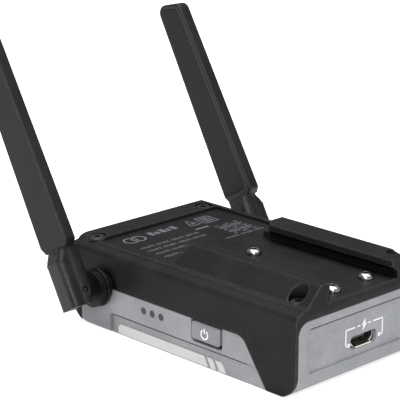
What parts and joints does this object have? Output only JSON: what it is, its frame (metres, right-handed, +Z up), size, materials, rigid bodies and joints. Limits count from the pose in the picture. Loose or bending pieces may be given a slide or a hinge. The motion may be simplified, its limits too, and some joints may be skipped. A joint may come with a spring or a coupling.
{
  "type": "wireless receiver unit",
  "caption": "Pocket wireless receiver with a slotted mounting top, folding blade antennas on both sides, a side power button, light windows, a micro-USB port and an audio socket.",
  "frame": {"origin": "centre of the flat bottom face", "axes": "+X towards the charging-port end, +Y away from the button side, +Z up to the slotted top"},
  "size_m": [0.0938, 0.0662, 0.0659],
  "materials": {
    "top_cover": "fine spark texture",
    "bottom_tray": "satin, fine grain",
    "near_side_panel": "satin, fine grain",
    "far_side_panel": "satin, fine grain",
    "led_windows": "smoked",
    "side_strip": "pale strip",
    "power_button": "satin",
    "switch_plunger": "moulded",
    "power_switch": "moulded",
    "usb_shell": "nickel plated",
    "usb_insert": "moulded",
    "usb_contacts": "gold plated",
    "audio_jack": "moulded",
    "main_board": "solder mask",
    "radio_shield": "tinned",
    "board_chips": "moulded",
    "status_leds": "clear",
    "battery_cell": "pouch foil",
    "battery_pad": "foam",
    "battery_socket": "moulded",
    "case_screws": "dark plated",
    "floor_screws": "bright plated",
    "board_screws": "bright plated",
    "near_antenna_collar": "satin",
    "near_antenna_nut": "turned",
    "near_antenna_swivel": "satin",
    "near_antenna_clip": "sprung",
    "near_antenna_blade": "satin, fine grain",
    "near_antenna_outer_face": "satin, fine grain",
    "near_antenna_inner_face": "satin, fine grain",
    "near_antenna_radiator": "etched",
    "near_antenna_pin": "ground",
    "far_antenna_collar": "satin",
    "far_antenna_nut": "turned",
    "far_antenna_swivel": "satin",
    "far_antenna_clip": "sprung",
    "far_antenna_blade": "satin, fine grain",
    "far_antenna_outer_face": "satin, fine grain",
    "far_antenna_inner_face": "satin, fine grain",
    "far_antenna_radiator": "etched",
    "far_antenna_pin": "ground"
  },
  "bodies": {
    "case": {"top_cover": "top_cover", "bottom_tray": "bottom_tray", "near_side_panel": "near_side_panel", "far_side_panel": "far_side_panel", "led_windows": "led_windows", "side_strip": "side_strip", "power_switch": "power_switch", "usb_shell": "usb_shell", "usb_insert": "usb_insert", "usb_contacts": "usb_contacts", "audio_jack": "audio_jack", "main_board": "main_board", "radio_shield": "radio_shield", "board_chips": "board_chips", "status_leds": "status_leds", "battery_cell": "battery_cell", "battery_pad": "battery_pad", "battery_socket": "battery_socket", "case_screws": "case_screws", "floor_screws": "floor_screws", "board_screws": "board_screws", "near_antenna_collar": "near_antenna_collar", "near_antenna_nut": "near_antenna_nut", "far_antenna_collar": "far_antenna_collar", "far_antenna_nut": "far_antenna_nut"},
    "button": {"power_button": "power_button", "switch_plunger": "switch_plunger"},
    "near_swivel": {"near_antenna_swivel": "near_antenna_swivel", "near_antenna_clip": "near_antenna_clip"},
    "near_blade": {"near_antenna_blade": "near_antenna_blade", "near_antenna_outer_face": "near_antenna_outer_face", "near_antenna_inner_face": "near_antenna_inner_face", "near_antenna_radiator": "near_antenna_radiator", "near_antenna_pin": "near_antenna_pin"},
    "far_swivel": {"far_antenna_swivel": "far_antenna_swivel", "far_antenna_clip": "far_antenna_clip"},
    "far_blade": {"far_antenna_blade": "far_antenna_blade", "far_antenna_outer_face": "far_antenna_outer_face", "far_antenna_inner_face": "far_antenna_inner_face", "far_antenna_radiator": "far_antenna_radiator", "far_antenna_pin": "far_antenna_pin"}
  },
  "joints": [
    {"name": "near_antenna_turn", "type": "hinge", "parent": "case", "child": "near_swivel", "pos_m": [-0.0243, -0.02115, 0.01085], "axis": [0, 1, 0], "range_deg": [-60.3, 119.7]},
    {"name": "near_antenna_fold", "type": "hinge", "parent": "near_swivel", "child": "near_blade", "pos_m": [-0.0243, -0.02895, 0.01085], "axis": [0.8686, 0, 0.4955], "range_deg": [0, 90]},
    {"name": "far_antenna_turn", "type": "hinge", "parent": "case", "child": "far_swivel", "pos_m": [-0.0243, 0.02115, 0.01085], "axis": [0, 1, 0], "range_deg": [-60.3, 119.7]},
    {"name": "far_antenna_fold", "type": "hinge", "parent": "far_swivel", "child": "far_blade", "pos_m": [-0.0243, 0.02895, 0.01085], "axis": [-0.8686, 0, -0.4955], "range_deg": [0, 90]},
    {"name": "power_button_press", "type": "slide", "parent": "case", "child": "button", "axis": [0, 1, 0], "range_m": [0, 0.0004], "stiffness_N_per_m": 400, "springref_m": -0.001}
  ]
}
